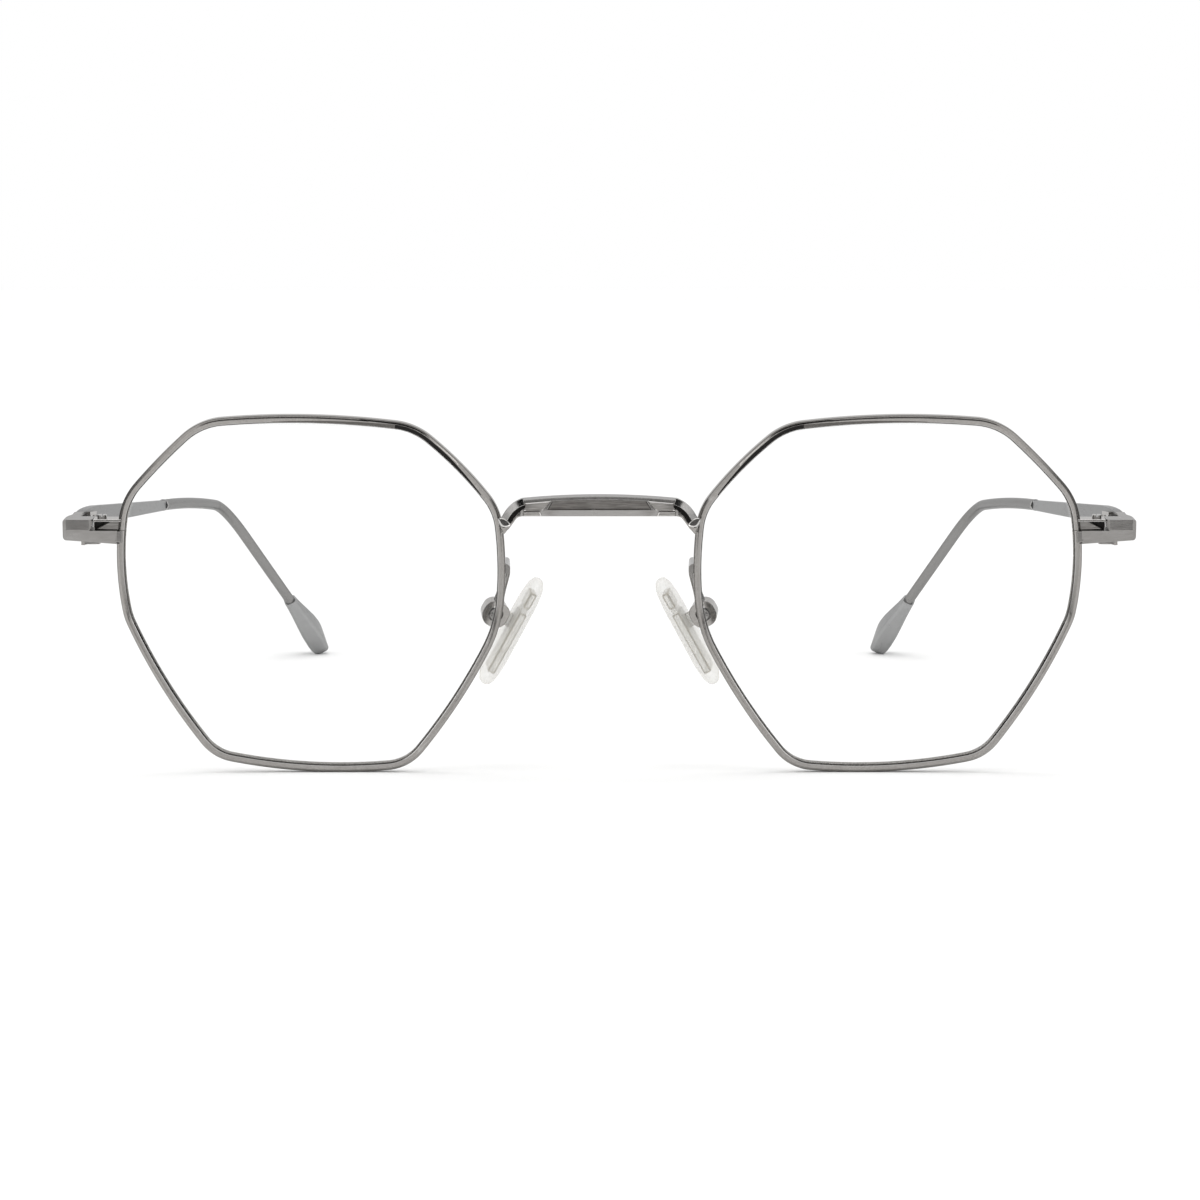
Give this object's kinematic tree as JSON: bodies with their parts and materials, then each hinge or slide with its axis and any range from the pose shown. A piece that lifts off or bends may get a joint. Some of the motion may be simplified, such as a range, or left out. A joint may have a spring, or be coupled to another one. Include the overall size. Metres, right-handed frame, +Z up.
{
  "type": "metal eyeglasses",
  "caption": "Wire-rim eyeglasses with eight-sided lenses, a low bar bridge, adjustable nose pads and folding temples with flat paddle tips.",
  "frame": {"origin": "on the surface the glasses stand on, midway between the wearer's left and right, and midway between the foremost point of the rims and the ends of the temple tips", "axes": "+X to the wearer's left, +Y from the front back along the temples, +Z up"},
  "size_m": [0.1358, 0.1426, 0.0459],
  "materials": {
    "gunmetal": "satin gunmetal plating",
    "pale_gunmetal": "satin gunmetal plating, lighter on the blades and tips",
    "screw_steel": "bright small screws and pad boxes",
    "lens": "clear demonstration lens, polished",
    "clear_core": "clear hard plastic",
    "milky_pad": "clear to milky soft silicone"
  },
  "bodies": {
    "front": {"rim_left": "gunmetal", "rim_right": "gunmetal", "lens_left": "lens", "lens_right": "lens", "bridge": "gunmetal", "endpiece_left": "gunmetal", "endpiece_right": "gunmetal", "rim_lock_left": "gunmetal", "rim_lock_right": "gunmetal", "closing_screw_left": "screw_steel", "closing_screw_right": "screw_steel", "hinge_front_left": "gunmetal", "hinge_front_right": "gunmetal", "hinge_screw_left": "screw_steel", "hinge_screw_right": "screw_steel", "pad_arm_left": "gunmetal", "pad_arm_right": "gunmetal", "pad_box_left": "screw_steel", "pad_box_right": "screw_steel", "pad_screw_left": "screw_steel", "pad_screw_right": "screw_steel"},
    "temple_left": {"hinge_rear_left": "gunmetal", "temple_blade_left": "pale_gunmetal", "temple_rod_left": "gunmetal", "temple_tip_left": "pale_gunmetal"},
    "temple_right": {"hinge_rear_right": "gunmetal", "temple_blade_right": "pale_gunmetal", "temple_rod_right": "gunmetal", "temple_tip_right": "pale_gunmetal"},
    "pad_left": {"pad_core_left": "clear_core", "nose_pad_left": "milky_pad"},
    "pad_right": {"pad_core_right": "clear_core", "nose_pad_right": "milky_pad"}
  },
  "joints": [
    {"name": "temple_fold_left", "type": "hinge", "parent": "front", "child": "temple_left", "pos_m": [0.0649, -0.06298, 0.03061], "axis": [0, 0.0436, 0.999], "range_deg": [0, 75]},
    {"name": "temple_fold_right", "type": "hinge", "parent": "front", "child": "temple_right", "pos_m": [-0.0649, -0.06298, 0.03061], "axis": [0, -0.0436, -0.999], "range_deg": [0, 83.5]},
    {"name": "pad_rock_left", "type": "hinge", "parent": "front", "child": "pad_left", "pos_m": [0.0135, -0.06085, 0.01996], "axis": [0.1066, 0.9836, 0.1454], "range_deg": [-8, 8]},
    {"name": "pad_rock_right", "type": "hinge", "parent": "front", "child": "pad_right", "pos_m": [-0.0135, -0.06085, 0.01996], "axis": [0.1066, -0.9836, -0.1454], "range_deg": [-8, 8]}
  ]
}
